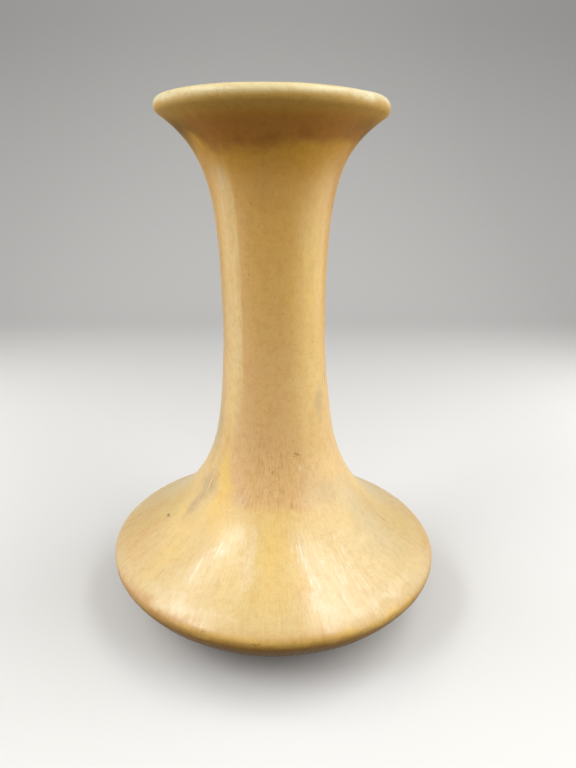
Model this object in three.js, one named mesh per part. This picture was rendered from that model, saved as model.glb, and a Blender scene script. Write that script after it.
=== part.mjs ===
// A pottery vase with a low saucer-shaped body, a slim neck and a flared mouth.
// It is made of three thrown clay sections and a foot ring, luted with slip and coated with glaze.
// Millimetres, +Z up, origin on the axis at the surface that the vase stands on.
import * as THREE from 'three';

// Foot and floor
const FOOT_RADIUS = 44;
const FOOT_WIDTH = 6;
const FOOT_HEIGHT = 3;
const FOOT_CHAMFER = 0.8;
const FOOT_SEAT = 1;
const FLOOR_THICKNESS = 5.5;
const FLOOR_RADIUS = 36;

// Outside of the glaze, from the foot up
const HEIGHT = 230;
const BELLY_RADIUS = 78.3;
const BELLY_HEIGHT = 28.4;
const SHOULDER_RISE = 54.7;
const NECK_BASE_RADIUS = 28.6;
const NECK_RISE = 54.2;
const WAIST_RADIUS = 23.1;
const MOUTH_RADIUS = 47.5;

// Directions of the outside, in degrees from level, turning from outwards to inwards
const UNDERSIDE_DEGREES = 10;
const UPRIGHT_DEGREES = 90;
const NECK_BASE_DEGREES = 106.3;
const LIP_DEGREES = 34.1;

// Thickness of the clay walls, the lip and the glaze
const CLAY_WALL = 4;
const BELLY_CLAY_WALL = 6.2;
const INNER_BELLY_DROP = 0.9;
const LIP_THICKNESS = 6.6;
const GLAZE = 0.6;
const BARE_BAND = 2;

// How far each curve keeps the direction of its two ends, as shares of its chord
const UNDERSIDE_PULLS = [0.365, 0.15];
const SHOULDER_PULLS = [0.1, 0.617];
const NECK_PULLS = [0.093, 0.449];
const FLARE_PULLS = [0.587, 0.292];
const INNER_FLOOR_PULLS = [0.564, 0.12];
const INNER_SHOULDER_PULLS = [0.07, 0.643];
const INNER_NECK_PULLS = [0.105, 0.439];
const INNER_FLARE_PULLS = [0.504, 0.303];

// Seams between the clay sections: a bevelled edge set in a V groove, with slip between
const SLIP_THICKNESS = 1;
const GROOVE_DEPTH = 2;

// Facets round the axis, and steps along each stretch of the outline
const FACETS = 44;
const UNDERSIDE_STEPS = 5;
const SHOULDER_STEPS = 8;
const NECK_STEPS = 4;
const FLARE_STEPS = 7;
const LIP_STEPS = 6;

// Fired clay and satin ochre glaze
const CLAY_COLOUR = 0xcdb08c;
const SLIP_COLOUR = 0xbf9f79;
const OUTER_GLAZE_COLOUR = 0xe0b86f;
const INNER_GLAZE_COLOUR = 0xd3a95f;
const CLAY_ROUGHNESS = 0.9;
const GLAZE_ROUGHNESS = 0.45;

// A point on an outline, with the direction in which the outline passes it
function knot(radius, height, degrees) {
  const angle = THREE.MathUtils.degToRad(degrees);
  return {
    at: new THREE.Vector2(radius, height),
    along: new THREE.Vector2(Math.cos(angle), Math.sin(angle)),
    inward: new THREE.Vector2(-Math.sin(angle), Math.cos(angle)),
  };
}

// The same knot moved along the outline and into the wall
function moved(from, forward, inward) {
  const at = from.at.clone().addScaledVector(from.along, forward).addScaledVector(from.inward, inward);
  return { ...from, at };
}

// Knots along one smooth curve
function stretch(from, to, [pullFrom, pullTo], steps) {
  const chord = from.at.distanceTo(to.at);
  const curve = new THREE.CubicBezierCurve(
    from.at,
    from.at.clone().addScaledVector(from.along, pullFrom * chord),
    to.at.clone().addScaledVector(to.along, -pullTo * chord),
    to.at,
  );
  const knots = [from];
  for (let step = 1; step < steps; step += 1) {
    const share = step / steps;
    const along = curve.getTangent(share);
    const inward = new THREE.Vector2(-along.y, along.x);
    knots.push({ at: curve.getPoint(share), along, inward });
  }
  knots.push(to);
  return knots;
}

// The half-round edge of the lip, from its outer to its inner side
function roundLip(outerSide, steps) {
  const centre = moved(outerSide, 0, LIP_THICKNESS / 2).at;
  const knots = [];
  for (let step = 1; step <= steps; step += 1) {
    const turn = Math.PI * step / steps;
    const origin = new THREE.Vector2(0, 0);
    const along = outerSide.along.clone().rotateAround(origin, turn);
    const inward = new THREE.Vector2(-along.y, along.x);
    knots.push({ at: centre.clone().addScaledVector(inward, -LIP_THICKNESS / 2), along, inward });
  }
  return knots;
}

// The two ends of the slip where a seam meets an outline
function seamOf(middle) {
  return [moved(middle, -SLIP_THICKNESS / 2, 0), moved(middle, SLIP_THICKNESS / 2, 0)];
}

// An outline moved into the wall by a depth
function points(knots, depth) {
  return knots.map((one) => one.at.clone().addScaledVector(one.inward, depth));
}

function backwards(list) {
  return [...list].reverse();
}

// Main knots of the outside
const neckBaseHeight = BELLY_HEIGHT + SHOULDER_RISE;
const waistHeight = neckBaseHeight + NECK_RISE;
const glazeLine = knot(FOOT_RADIUS + BARE_BAND, FOOT_HEIGHT - GLAZE, UNDERSIDE_DEGREES);
const belly = knot(BELLY_RADIUS, BELLY_HEIGHT, UPRIGHT_DEGREES);
const neckBase = knot(NECK_BASE_RADIUS, neckBaseHeight, NECK_BASE_DEGREES);
const waist = knot(WAIST_RADIUS, waistHeight, UPRIGHT_DEGREES);
const lipCentre = knot(MOUTH_RADIUS - LIP_THICKNESS / 2, HEIGHT - LIP_THICKNESS / 2, LIP_DEGREES);
const lipOutside = moved(lipCentre, 0, -LIP_THICKNESS / 2);

// The outside in its stretches; each seam is a short straight one
const bellySeam = seamOf(belly);
const neckSeam = seamOf(neckBase);
const outside = {
  underside: stretch(glazeLine, bellySeam[0], UNDERSIDE_PULLS, UNDERSIDE_STEPS),
  bellySeam,
  shoulder: stretch(bellySeam[1], neckSeam[0], SHOULDER_PULLS, SHOULDER_STEPS),
  neckSeam,
  neck: stretch(neckSeam[1], waist, NECK_PULLS, NECK_STEPS),
  flare: stretch(waist, lipOutside, FLARE_PULLS, FLARE_STEPS),
  lip: roundLip(lipOutside, LIP_STEPS),
};

// Main knots of the inside, each set in from the outside by the wall that is wanted there
const wall = CLAY_WALL + 2 * GLAZE;
const floorHeight = FOOT_HEIGHT + FLOOR_THICKNESS + GLAZE;
const floorEdge = knot(FLOOR_RADIUS, floorHeight, 0);
const innerBelly = moved(belly, -INNER_BELLY_DROP, BELLY_CLAY_WALL + 2 * GLAZE);
const innerNeckBase = moved(neckBase, 0, wall);
const innerWaist = moved(waist, 0, wall);
const innerLip = moved(lipOutside, 0, LIP_THICKNESS);

// The inside in the same stretches as the outside
const innerBellySeam = seamOf(innerBelly);
const innerNeckSeam = seamOf(innerNeckBase);
const inside = {
  floor: stretch(floorEdge, innerBellySeam[0], INNER_FLOOR_PULLS, UNDERSIDE_STEPS),
  bellySeam: innerBellySeam,
  shoulder: stretch(innerBellySeam[1], innerNeckSeam[0], INNER_SHOULDER_PULLS, SHOULDER_STEPS),
  neckSeam: innerNeckSeam,
  neck: stretch(innerNeckSeam[1], innerWaist, INNER_NECK_PULLS, NECK_STEPS),
  flare: stretch(innerWaist, innerLip, INNER_FLARE_PULLS, FLARE_STEPS),
};

// Outer and inner face of the clay, stretch by stretch
const clayOutside = {};
for (const [name, knots] of Object.entries(outside)) {
  clayOutside[name] = points(knots, GLAZE);
}
const clayInside = {};
for (const [name, knots] of Object.entries(inside)) {
  clayInside[name] = points(knots, -GLAZE);
}

// One face of a seam, from the outside in: its middle dips to form the V
function seamFace(outer, inner, along) {
  const dip = outer.clone().lerp(inner, 0.5).addScaledVector(along, -GROOVE_DEPTH);
  return [outer, dip, inner];
}

const bellyGroove = seamFace(clayOutside.bellySeam[0], clayInside.bellySeam[0], belly.along);
const bellyBevel = seamFace(clayOutside.bellySeam[1], clayInside.bellySeam[1], belly.along);
const neckGroove = seamFace(clayOutside.neckSeam[0], clayInside.neckSeam[0], neckBase.along);
const neckBevel = seamFace(clayOutside.neckSeam[1], clayInside.neckSeam[1], neckBase.along);

// Joins stretches into one profile, without the points that two of them share
function profileOf(...stretches) {
  const profile = [];
  for (const point of stretches.flat()) {
    const last = profile[profile.length - 1];
    if (!last || !last.equals(point)) {
      profile.push(point);
    }
  }
  return profile;
}

function ringProfile(...stretches) {
  const profile = profileOf(...stretches);
  if (!profile[0].equals(profile[profile.length - 1])) {
    profile.push(profile[0].clone());
  }
  return profile;
}

// A turned solid. Each four-sided facet is split along the same diagonal whichever way the
// profile runs, so that the faces of two touching pieces match.
function turned(profile) {
  const geometry = new THREE.LatheGeometry(profile, FACETS);
  const index = geometry.index;
  const rows = profile.length - 1;
  for (let facet = 0; facet < FACETS * rows; facet += 1) {
    const row = facet % rows;
    const rise = profile[row + 1].y - profile[row].y;
    const run = profile[row + 1].x - profile[row].x;
    if (rise < 0 || (rise === 0 && run < 0)) {
      const first = 6 * facet;
      const [a, b, d, c] = [0, 1, 2, 3].map((place) => index.getX(first + place));
      [a, b, c, a, c, d].forEach((corner, place) => index.setX(first + place, corner));
    }
  }
  geometry.rotateX(Math.PI / 2);
  return geometry;
}

function piece(name, profile, colour, roughness) {
  const material = new THREE.MeshStandardMaterial({ color: colour, roughness, metalness: 0 });
  const mesh = new THREE.Mesh(turned(profile), material);
  mesh.name = name;
  return mesh;
}

function at(radius, height) {
  return new THREE.Vector2(radius, height);
}

// Foot ring, let into a shallow groove in the underside of the bowl
const footInnerRadius = FOOT_RADIUS - FOOT_WIDTH;
const seatHeight = FOOT_HEIGHT + FOOT_SEAT;

function footRing() {
  const profile = ringProfile([
    at(footInnerRadius + FOOT_CHAMFER, 0),
    at(FOOT_RADIUS - FOOT_CHAMFER, 0),
    at(FOOT_RADIUS, FOOT_CHAMFER),
    at(FOOT_RADIUS, seatHeight),
    at(footInnerRadius, seatHeight),
    at(footInnerRadius, FOOT_CHAMFER),
  ]);
  return piece('foot_ring', profile, CLAY_COLOUR, CLAY_ROUGHNESS);
}

// Floor and lower wall, up to the groove at the widest part
function lowerBowl() {
  const profile = profileOf(
    [at(0, FOOT_HEIGHT), at(footInnerRadius, FOOT_HEIGHT), at(footInnerRadius, seatHeight)],
    [at(FOOT_RADIUS, seatHeight), at(FOOT_RADIUS, FOOT_HEIGHT)],
    clayOutside.underside,
    bellyGroove,
    backwards(clayInside.floor),
    [at(0, floorHeight - GLAZE)],
  );
  return piece('lower_bowl', profile, CLAY_COLOUR, CLAY_ROUGHNESS);
}

// A ring of slip between a groove and the bevelled edge above it
function slipRing(name, groove, bevel) {
  return piece(name, ringProfile(bevel, backwards(groove)), SLIP_COLOUR, CLAY_ROUGHNESS);
}

function shoulder() {
  const profile = ringProfile(
    clayOutside.shoulder,
    neckGroove,
    backwards(clayInside.shoulder),
    backwards(bellyBevel),
  );
  return piece('shoulder', profile, CLAY_COLOUR, CLAY_ROUGHNESS);
}

function neckAndMouth() {
  const profile = ringProfile(
    clayOutside.neck,
    clayOutside.flare,
    clayOutside.lip,
    backwards(clayInside.flare),
    backwards(clayInside.neck),
    backwards(neckBevel),
  );
  return piece('neck_and_mouth', profile, CLAY_COLOUR, CLAY_ROUGHNESS);
}

// The outer coat runs from just outside the foot, up the outside and over the lip
function outerGlaze() {
  const visible = Object.values(outside).flatMap((knots) => points(knots, 0));
  const onClay = Object.values(clayOutside).flat();
  const profile = ringProfile(visible, backwards(onClay));
  return piece('outer_glaze', profile, OUTER_GLAZE_COLOUR, GLAZE_ROUGHNESS);
}

// The inner coat runs from the floor up to the outer coat at the lip
function innerGlaze() {
  const visible = Object.values(inside).flatMap((knots) => points(knots, 0));
  const onClay = Object.values(clayInside).flat();
  const profile = profileOf(
    [at(0, floorHeight - GLAZE)],
    onClay,
    backwards(visible),
    [at(0, floorHeight)],
  );
  return piece('inner_glaze', profile, INNER_GLAZE_COLOUR, GLAZE_ROUGHNESS);
}

const vase = new THREE.Group();
vase.name = 'pottery_vase';
vase.add(
  footRing(),
  lowerBowl(),
  slipRing('belly_seam_slip', bellyGroove, bellyBevel),
  shoulder(),
  slipRing('neck_seam_slip', neckGroove, neckBevel),
  neckAndMouth(),
  outerGlaze(),
  innerGlaze(),
);

export default vase;
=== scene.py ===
# A pottery vase in satin ochre glaze, modelled and finished round its packed construction.
# Metres, +Z up, in the construction's own frame. Azimuth 0 is the front, 90 degrees the right.
import math
import random

import bmesh
import bpy
from mathutils import Matrix, Vector
from mathutils.kdtree import KDTree


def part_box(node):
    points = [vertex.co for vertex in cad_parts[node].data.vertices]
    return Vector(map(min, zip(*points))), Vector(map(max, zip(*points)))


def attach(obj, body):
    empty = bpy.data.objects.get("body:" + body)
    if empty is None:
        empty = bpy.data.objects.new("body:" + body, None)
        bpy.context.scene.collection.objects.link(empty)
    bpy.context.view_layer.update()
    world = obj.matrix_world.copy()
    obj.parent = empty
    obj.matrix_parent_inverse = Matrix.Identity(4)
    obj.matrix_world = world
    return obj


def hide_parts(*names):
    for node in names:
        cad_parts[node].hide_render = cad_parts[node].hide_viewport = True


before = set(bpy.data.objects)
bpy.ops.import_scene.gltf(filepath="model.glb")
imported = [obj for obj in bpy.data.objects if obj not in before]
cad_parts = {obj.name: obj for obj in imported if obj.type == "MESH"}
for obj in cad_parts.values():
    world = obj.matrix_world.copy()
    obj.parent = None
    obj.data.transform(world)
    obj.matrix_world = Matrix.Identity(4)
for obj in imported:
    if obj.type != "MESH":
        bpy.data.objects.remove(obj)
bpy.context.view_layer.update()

dice = random.Random(7)

# Sizes that the construction gives, in metres as all lengths here
glaze_low, glaze_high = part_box("outer_glaze")
foot_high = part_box("foot_ring")[1]
HEIGHT = glaze_high.z
BELLY_RADIUS = glaze_high.x
GLAZE_LINE_HEIGHT = glaze_low.z
FOOT_RADIUS = foot_high.x
SEAT_HEIGHT = foot_high.z

# Outside of the outer glaze
BELLY_HEIGHT = 0.0284
NECK_BASE_RADIUS = 0.0286
NECK_BASE_HEIGHT = 0.0831
WAIST_RADIUS = 0.0231
WAIST_HEIGHT = 0.1373
MOUTH_RADIUS = 0.0475

# Directions of the outside, in degrees from level, turning from outwards to inwards
UNDERSIDE_DEGREES = 10
NECK_BASE_DEGREES = 106.3
LIP_DEGREES = 34.1

# Walls, floor, foot, seams and coats
CLAY_WALL = 0.004
BELLY_CLAY_WALL = 0.0062
INNER_BELLY_DROP = 0.0009
LIP_THICKNESS = 0.0066
GLAZE = 0.0006
BARE_BAND = 0.002
FOOT_SEAT = 0.001
FOOT_WIDTH = 0.006
FOOT_ROUNDING = 0.0008
FOOT_ROUNDING_STEPS = 3
FLOOR_THICKNESS = 0.0055
FLOOR_RADIUS = 0.036
SLIP_THICKNESS = 0.001
GROOVE_DEPTH = 0.002

# How far each curve keeps the direction of its two ends, as shares of its chord
UNDERSIDE_PULLS = (0.365, 0.15)
SHOULDER_PULLS = (0.1, 0.617)
NECK_PULLS = (0.093, 0.449)
FLARE_PULLS = (0.587, 0.292)
INNER_FLOOR_PULLS = (0.564, 0.12)
INNER_SHOULDER_PULLS = (0.07, 0.643)
INNER_NECK_PULLS = (0.105, 0.439)
INNER_FLARE_PULLS = (0.504, 0.303)

# Rows of faces along each stretch of the outline, and columns round the axis
UNDERSIDE_ROWS = 22
SHOULDER_ROWS = 52
NECK_ROWS = 34
FLARE_ROWS = 52
LIP_ROWS = 18
COLUMNS = 180

# Distances within which two points are one or two lengths the same, the least upward or downward
# part of a level face's normal, and the angle from which an edge stays sharp
SAME_POINT = 1e-7
SAME_CORNER = 1e-6
NEARLY = 1e-5
LEVEL_FACE = 0.9
TRUE_EDGE_DEGREES = 40

# What the hands and the kiln left uneven
TILT_TO_RIGHT = math.radians(0.7)
MOUTH_TILT_BACK = math.radians(0.7)
LEAN_BY_HEIGHT = ((0, 0), (BELLY_HEIGHT, 0), (NECK_BASE_HEIGHT, 0.00095), (HEIGHT, -0.0007))
LEAN_LEVELS = 9
WANDER = 0.0003
WANDER_WIDTH = 0.03


# Outline

def knot(radius, height, degrees):
    """A point on the outline, with the direction in which the outline passes it."""
    turn = math.radians(degrees)
    return Vector((radius, height)), Vector((math.cos(turn), math.sin(turn)))


def into_wall(along):
    """The direction square to the outline, from the outside towards the hollow."""
    return Vector((-along.y, along.x))


def moved(start, forward, inward):
    """The same knot moved along the outline and into the wall."""
    place, along = start
    return place + along * forward + into_wall(along) * inward, along


def stretch(start, end, pulls, rows):
    """Knots along one smooth curve from one knot to another."""
    chord = (end[0] - start[0]).length
    a = start[0]
    b = a + start[1] * pulls[0] * chord
    d = end[0]
    c = d - end[1] * pulls[1] * chord
    knots = [start]
    for row in range(1, rows):
        t = row / rows
        s = 1 - t
        place = a * s ** 3 + b * 3 * s * s * t + c * 3 * s * t * t + d * t ** 3
        along = (b - a) * s * s + (c - b) * 2 * s * t + (d - c) * t * t
        knots.append((place, along.normalized()))
    knots.append(end)
    return knots


def round_lip(outer_side, rows):
    """The half-round edge of the lip, from its outer to its inner side."""
    centre = moved(outer_side, 0, LIP_THICKNESS / 2)[0]
    start = math.atan2(outer_side[1].y, outer_side[1].x)
    knots = []
    for row in range(1, rows + 1):
        turn = start + math.pi * row / rows
        along = Vector((math.cos(turn), math.sin(turn)))
        knots.append((centre - into_wall(along) * LIP_THICKNESS / 2, along))
    return knots


def seam_of(middle):
    """The two ends of the slip where a seam meets an outline."""
    return [moved(middle, -SLIP_THICKNESS / 2, 0), moved(middle, SLIP_THICKNESS / 2, 0)]


def at_depth(stretches, depth):
    """Each stretch of an outline as plain points, moved into the wall."""
    return {name: [moved(one, 0, depth)[0] for one in knots] for name, knots in stretches.items()}


def seam_face(outer, inner, along):
    """One face of a seam from the outside in: its middle dips to form the V."""
    return [outer, (outer + inner) / 2 - along * GROOVE_DEPTH, inner]


def outside_knots():
    """The outside of the outer glaze, from the glaze line over the lip."""
    line = knot(FOOT_RADIUS + BARE_BAND, GLAZE_LINE_HEIGHT, UNDERSIDE_DEGREES)
    lip_centre = knot(MOUTH_RADIUS - LIP_THICKNESS / 2, HEIGHT - LIP_THICKNESS / 2, LIP_DEGREES)
    lip_outside = moved(lip_centre, 0, -LIP_THICKNESS / 2)
    belly_seam = seam_of(belly)
    neck_seam = seam_of(neck_base)
    return {
        "underside": stretch(line, belly_seam[0], UNDERSIDE_PULLS, UNDERSIDE_ROWS),
        "belly_seam": belly_seam,
        "shoulder": stretch(belly_seam[1], neck_seam[0], SHOULDER_PULLS, SHOULDER_ROWS),
        "neck_seam": neck_seam,
        "neck": stretch(neck_seam[1], waist, NECK_PULLS, NECK_ROWS),
        "flare": stretch(waist, lip_outside, FLARE_PULLS, FLARE_ROWS),
        "lip": round_lip(lip_outside, LIP_ROWS),
    }


def inside_knots(lip_inside):
    """The inside of the inner glaze, from the floor to the lip."""
    wall = CLAY_WALL + 2 * GLAZE
    floor_edge = knot(FLOOR_RADIUS, floor_height, 0)
    inner_belly = moved(belly, -INNER_BELLY_DROP, BELLY_CLAY_WALL + 2 * GLAZE)
    belly_seam = seam_of(inner_belly)
    neck_seam = seam_of(moved(neck_base, 0, wall))
    inner_waist = moved(waist, 0, wall)
    inner_lip = (lip_inside[0], -lip_inside[1])
    return {
        "floor": stretch(floor_edge, belly_seam[0], INNER_FLOOR_PULLS, UNDERSIDE_ROWS),
        "belly_seam": belly_seam,
        "shoulder": stretch(belly_seam[1], neck_seam[0], INNER_SHOULDER_PULLS, SHOULDER_ROWS),
        "neck_seam": neck_seam,
        "neck": stretch(neck_seam[1], inner_waist, INNER_NECK_PULLS, NECK_ROWS),
        "flare": stretch(inner_waist, inner_lip, INNER_FLARE_PULLS, FLARE_ROWS),
    }


belly = knot(BELLY_RADIUS, BELLY_HEIGHT, 90)
neck_base = knot(NECK_BASE_RADIUS, NECK_BASE_HEIGHT, NECK_BASE_DEGREES)
waist = knot(WAIST_RADIUS, WAIST_HEIGHT, 90)
base_height = SEAT_HEIGHT - FOOT_SEAT
floor_height = base_height + FLOOR_THICKNESS + GLAZE

outside = outside_knots()
inside = inside_knots(outside["lip"][-1])
coat_outside = at_depth(outside, 0)
clay_outside = at_depth(outside, GLAZE)
clay_inside = at_depth(inside, -GLAZE)
coat_inside = at_depth(inside, 0)

belly_groove = seam_face(clay_outside["belly_seam"][0], clay_inside["belly_seam"][0], belly[1])
belly_bevel = seam_face(clay_outside["belly_seam"][1], clay_inside["belly_seam"][1], belly[1])
neck_groove = seam_face(clay_outside["neck_seam"][0], clay_inside["neck_seam"][0], neck_base[1])
neck_bevel = seam_face(clay_outside["neck_seam"][1], clay_inside["neck_seam"][1], neck_base[1])


# Work on a piece

def put_all_down():
    """Leaves edit mode and selects nothing."""
    if bpy.context.object and bpy.context.object.mode != "OBJECT":
        bpy.ops.object.mode_set(mode="OBJECT")
    bpy.ops.object.select_all(action="DESELECT")


def pick_up(piece):
    """Selects one piece alone, as a whole."""
    put_all_down()
    piece.select_set(True)
    bpy.context.view_layer.objects.active = piece


def take_up(piece, kind="FACE"):
    """Opens one piece for work on its mesh, with nothing of it selected."""
    pick_up(piece)
    bpy.ops.object.mode_set(mode="EDIT")
    bpy.ops.mesh.select_mode(type=kind)
    bpy.ops.mesh.select_all(action="DESELECT")


def pick_faces(piece, wanted):
    """Selects the faces of the piece in work whose middle and normal are wanted."""
    form = bmesh.from_edit_mesh(piece.data)
    for face in form.faces:
        face.select_set(wanted(face.calc_center_median(), face.normal))
    bmesh.update_edit_mesh(piece.data)


def pick_edges(piece, wanted):
    """Selects the edges of the piece in work that are wanted for their two ends."""
    form = bmesh.from_edit_mesh(piece.data)
    for edge in form.edges:
        one, other = edge.verts
        edge.select_set(wanted(one.co, other.co))
    bmesh.update_edit_mesh(piece.data)


def from_axis(place):
    return math.hypot(place.x, place.y)


def joined(*stretches):
    """One line of points through several stretches, without the points that two of them share."""
    line = []
    for points in stretches:
        for point in points:
            if not line or (point - line[-1]).length > SAME_POINT:
                line.append(point)
    return line


def backwards(points):
    return list(reversed(points))


def turned(name, line):
    """A form turned on the wheel: a ring of points, bent into half its section, is spun round the axis."""
    put_all_down()
    bpy.ops.mesh.primitive_circle_add(vertices=len(line), radius=LIP_THICKNESS, location=(0, 0, 0))
    piece = bpy.context.object
    piece.name = name
    piece.data.name = name
    take_up(piece, "VERT")
    section = bmesh.from_edit_mesh(piece.data)
    for corner, point in zip(section.verts, line):
        corner.co = (point.x, 0, point.y)
    bmesh.update_edit_mesh(piece.data)
    bpy.ops.mesh.select_all(action="SELECT")
    bpy.ops.mesh.spin(steps=COLUMNS, angle=math.tau, center=(0, 0, 0), axis=(0, 0, 1))
    bpy.ops.mesh.select_all(action="SELECT")
    bpy.ops.mesh.remove_doubles(threshold=SAME_CORNER)
    bpy.ops.mesh.delete_loose(use_verts=True, use_edges=True, use_faces=False)
    bpy.ops.mesh.select_all(action="SELECT")
    bpy.ops.mesh.normals_make_consistent(inside=False)
    put_all_down()
    return piece


# Pieces

def stands_on_table(one, other):
    """Whether an edge between two points runs round the axis on the table."""
    return max(one.z, other.z) < NEARLY and abs(from_axis(one) - from_axis(other)) < NEARLY


def foot_ring():
    """A coil of clay luted under the bowl and turned true, with its standing edges softened."""
    put_all_down()
    bpy.ops.mesh.primitive_cylinder_add(
        vertices=COLUMNS, radius=FOOT_RADIUS, depth=SEAT_HEIGHT, location=(0, 0, SEAT_HEIGHT / 2)
    )
    piece = bpy.context.object
    piece.name = "standing_foot_ring"
    bpy.ops.object.transform_apply(location=True, rotation=True, scale=True)
    take_up(piece)
    pick_faces(piece, lambda place, normal: abs(normal.z) > LEVEL_FACE)
    bpy.ops.mesh.inset(thickness=FOOT_WIDTH)
    bpy.ops.mesh.bridge_edge_loops()
    bpy.ops.mesh.select_mode(type="EDGE")
    pick_edges(piece, stands_on_table)
    bpy.ops.mesh.bevel(offset=FOOT_ROUNDING, segments=FOOT_ROUNDING_STEPS)
    bpy.ops.mesh.select_all(action="SELECT")
    bpy.ops.mesh.normals_make_consistent(inside=False)
    put_all_down()
    return piece


def lower_bowl():
    """Floor and lower wall, thrown up to the groove at the widest part."""
    foot_inner_radius = FOOT_RADIUS - FOOT_WIDTH
    base = [
        Vector((0, base_height)),
        Vector((foot_inner_radius, base_height)),
        Vector((foot_inner_radius, SEAT_HEIGHT)),
        Vector((FOOT_RADIUS, SEAT_HEIGHT)),
        Vector((FOOT_RADIUS, base_height)),
    ]
    line = joined(
        base,
        clay_outside["underside"],
        belly_groove,
        backwards(clay_inside["floor"]),
        [Vector((0, floor_height - GLAZE))],
    )
    return turned("lower_bowl_clay", line)


def slip_ring(name, groove, bevel):
    """A ring of slip between a groove and the bevelled edge above it."""
    return turned(name, joined(bevel, backwards(groove)))


def belly_seam_slip():
    return slip_ring("belly_seam_slip_ring", belly_groove, belly_bevel)


def neck_seam_slip():
    return slip_ring("neck_seam_slip_ring", neck_groove, neck_bevel)


def shoulder():
    """The hollow-curved shoulder, from the widest part in to the foot of the neck."""
    line = joined(
        clay_outside["shoulder"],
        neck_groove,
        backwards(clay_inside["shoulder"]),
        backwards(belly_bevel),
    )
    return turned("shoulder_clay", line[:-1])


def neck_and_mouth():
    """The neck with its flared mouth and half-round lip."""
    line = joined(
        clay_outside["neck"],
        clay_outside["flare"],
        clay_outside["lip"],
        backwards(clay_inside["flare"]),
        backwards(clay_inside["neck"]),
        backwards(neck_bevel),
    )
    return turned("neck_and_mouth_clay", line[:-1])


def outer_glaze():
    """The outer coat, from just outside the foot, up and over the lip."""
    shown = joined(*coat_outside.values())
    on_clay = joined(*clay_outside.values())
    return turned("outer_glaze_coat", shown + backwards(on_clay))


def inner_glaze():
    """The inner coat, from the middle of the floor up to the outer coat at the lip."""
    on_clay = [Vector((0, floor_height - GLAZE))] + joined(*clay_inside.values())
    shown = [Vector((0, floor_height))] + joined(*coat_inside.values())
    return turned("inner_glaze_coat", on_clay + backwards(shown))


# Unevenness from the hands and the kiln

def lean_at(height):
    """How far the axis has strayed to the right at a height."""
    for (low, shift_low), (high, shift_high) in zip(LEAN_BY_HEIGHT, LEAN_BY_HEIGHT[1:]):
        if height <= high:
            return shift_low + (shift_high - shift_low) * (height - low) / (high - low)
    return LEAN_BY_HEIGHT[-1][1]


def leaning_cage():
    """A cage round the vase whose corners are pushed by the lean and the tilt of the rings."""
    put_all_down()
    bpy.ops.object.add(type="LATTICE", location=(0, 0, HEIGHT / 2))
    cage = bpy.context.object
    width = 2 * BELLY_RADIUS
    cage.scale = (width, width, HEIGHT)
    cage.data.points_u = 2
    cage.data.points_v = 2
    cage.data.points_w = LEAN_LEVELS
    cage.data.interpolation_type_u = "KEY_LINEAR"
    cage.data.interpolation_type_v = "KEY_LINEAR"
    cage.data.interpolation_type_w = "KEY_CARDINAL"
    for corner in cage.data.points:
        height = HEIGHT * (corner.co.z + 0.5)
        to_right = corner.co.x * width
        to_back = corner.co.y * width
        settled = min(1, height / BELLY_HEIGHT)
        mouth_share = max(0, (height - WAIST_HEIGHT) / (HEIGHT - WAIST_HEIGHT))
        drop = to_right * math.tan(TILT_TO_RIGHT) * settled
        drop += to_back * math.tan(MOUTH_TILT_BACK) * mouth_share
        push = Vector((lean_at(height) / width, 0, -drop / HEIGHT))
        corner.co_deform = corner.co + push
    bpy.context.view_layer.update()
    return cage


def finish_modifier(piece, modifier):
    """Applies one modifier to a piece."""
    pick_up(piece)
    bpy.ops.object.modifier_apply(modifier=modifier.name)


def leave_uneven(pieces):
    """Leans and wanders the pieces all alike, so that they still lie on each other."""
    cage = leaning_cage()
    drift = bpy.data.textures.new("drift of the wall", "CLOUDS")
    drift.cloud_type = "COLOR"
    drift.noise_scale = WANDER_WIDTH
    drift.noise_depth = 1
    for piece in pieces:
        wander = piece.modifiers.new("wander", "DISPLACE")
        wander.texture = drift
        wander.texture_coords = "LOCAL"
        wander.direction = "RGB_TO_XYZ"
        wander.mid_level = 0.5
        wander.strength = 2 * WANDER
        finish_modifier(piece, wander)
        lean = piece.modifiers.new("lean", "LATTICE")
        lean.object = cage
        finish_modifier(piece, lean)
    pick_up(cage)
    bpy.ops.object.delete()


# Marks in the glaze: azimuth in degrees, height in metres
NECK_PITS = (
    (-19, 0.1905), (-26, 0.1635), (9, 0.1474), (21, 0.1348),
    (44, 0.1344), (19, 0.1187), (18, 0.0850),
)
LIP_NICKS = ((-50, 0.2286), (-64, 0.2264), (61, 0.2268), (64, 0.2241))
EDGE_SPECKS = ((-20, 0.0304), (-5, 0.0293), (-4, 0.0281), (4, 0.0269), (-75, 0.0463))
STRAY_PITS = 26
STRAY_AZIMUTHS = (92, 268)
STRAY_HEIGHTS = (0.03, 0.21)

# Shares of a hollow's width: the rim left round it, half its square mouth, and its sloping side
HOLLOW_RIM = 0.3
HOLLOW_HALF = 0.35
HOLLOW_SLOPE = 0.25

# The lower edge of the outer coat: the band of its mesh that strays, and how far
GLAZE_LINE_WIDTH = 0.0004
GLAZE_LINE_RISE = 0.001
GLAZE_LINE_STRAY = 0.0006


def direction_of(azimuth):
    """The level direction that an azimuth in degrees points in."""
    turn = math.radians(azimuth)
    return Vector((math.sin(turn), -math.cos(turn), 0))


def radius_at(height):
    """How far the outside of the coat lies from the axis at a height."""
    line = joined(*coat_outside.values())
    reach = 0
    for low, high in zip(line, line[1:]):
        if min(low.y, high.y) <= height <= max(low.y, high.y) and low.y != high.y:
            share = (height - low.y) / (high.y - low.y)
            reach = max(reach, low.x + (high.x - low.x) * share)
    return reach


def on_coat(azimuth, height):
    """The point of the outer coat at an azimuth and a height."""
    return direction_of(azimuth) * radius_at(height) + Vector((0, 0, height))


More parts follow.
